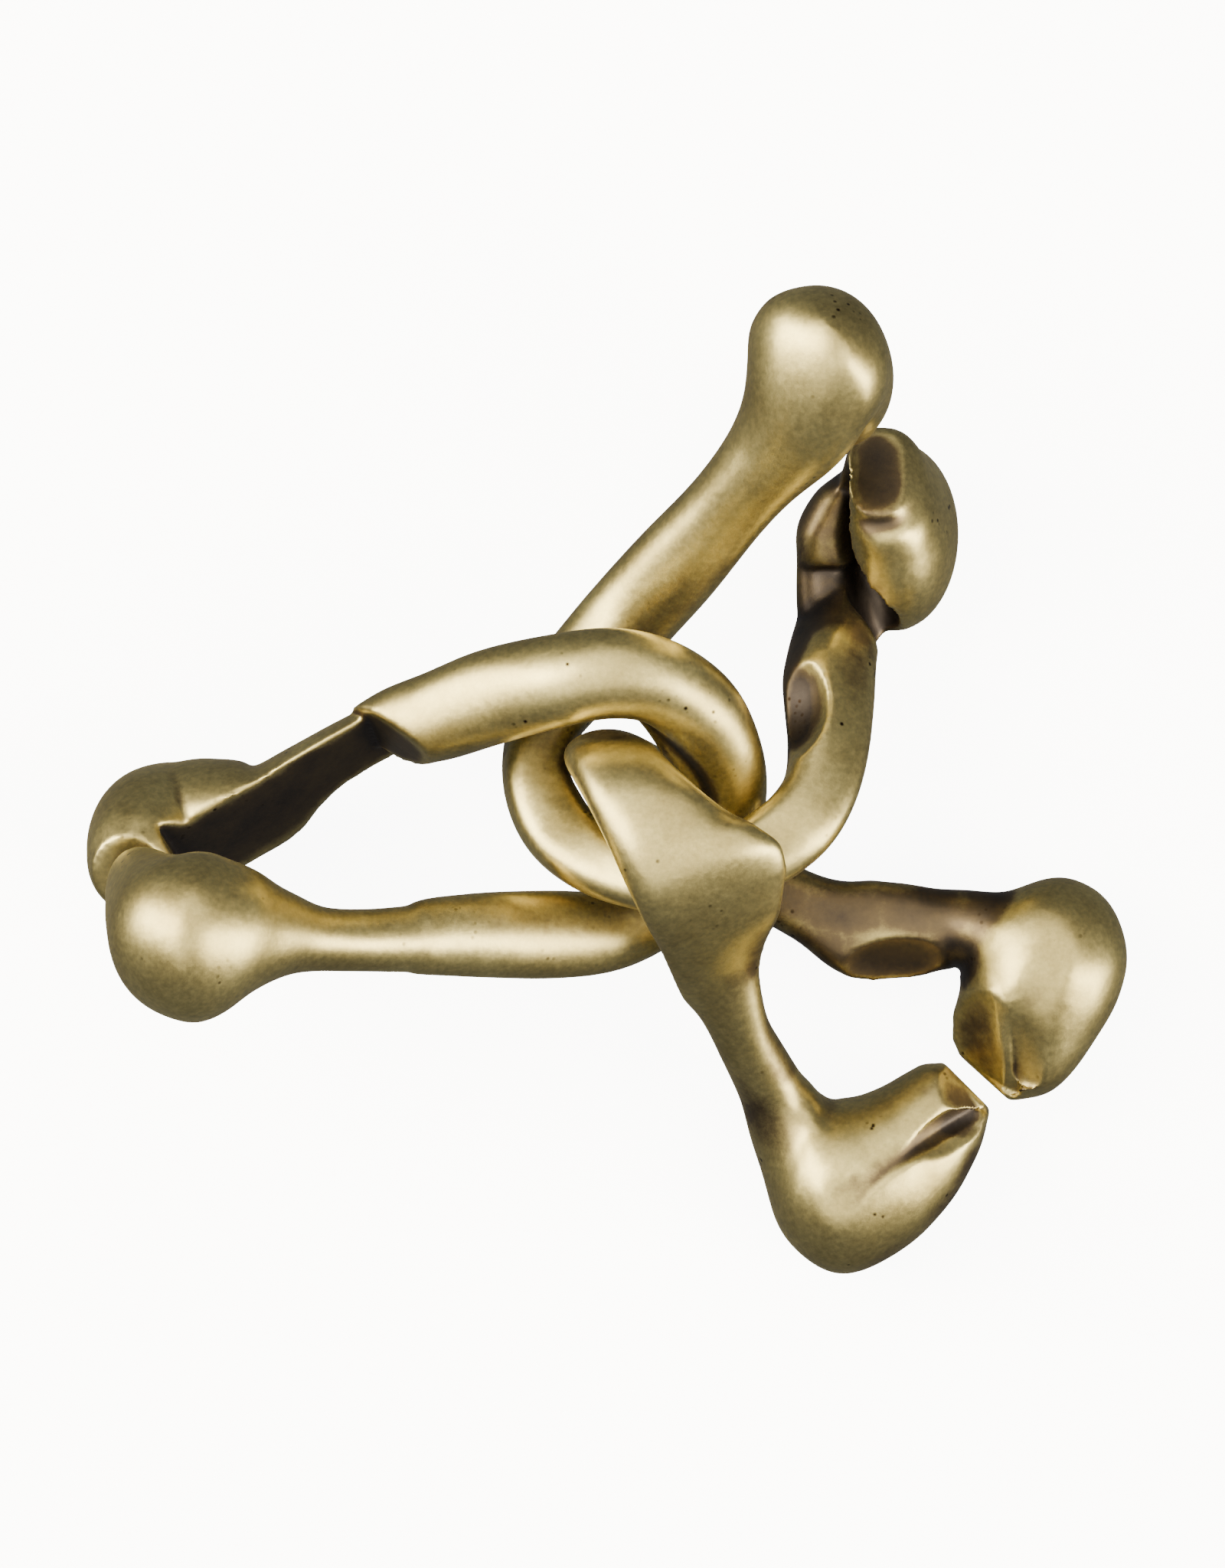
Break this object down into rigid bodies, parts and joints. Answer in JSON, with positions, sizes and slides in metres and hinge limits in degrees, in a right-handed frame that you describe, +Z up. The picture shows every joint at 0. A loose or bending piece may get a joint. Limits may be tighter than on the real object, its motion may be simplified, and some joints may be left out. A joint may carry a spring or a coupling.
{
  "type": "metal ring disentanglement puzzle",
  "caption": "Interlocked open rings of cast, brass-plated metal; each is a bent bar ending in facing egg-shaped lobes over a narrow gap, to be worked apart by hand.",
  "frame": {"origin": "centre of the heap's footprint, on the table", "axes": "+Z up from the table; +X from the left ring's lobes towards the lower ring's; +Y towards the upper ring's lobes"},
  "size_m": [0.0886, 0.0838, 0.0393],
  "materials": {
    "antique_brass": "antique plating: satin, pale gold on the high spots, brown patina in the hollows"
  },
  "bodies": {
    "left": {"left_ring": "antique_brass"},
    "upper": {"upper_ring": "antique_brass"},
    "lower": {"lower_ring": "antique_brass"}
  },
  "joints": [
    {"name": "upper_ring_swing", "type": "hinge", "parent": "left", "child": "upper", "pos_m": [-0.00169, 0.0005, 0.01673], "axis": [0.4851, -0.4851, 0.7276], "range_deg": [0, 26]},
    {"name": "lower_ring_swing", "type": "hinge", "parent": "left", "child": "lower", "pos_m": [0.00431, -0.0075, 0.02173], "axis": [0.7071, 0.7071, 0], "range_deg": [-36, 0]}
  ]
}
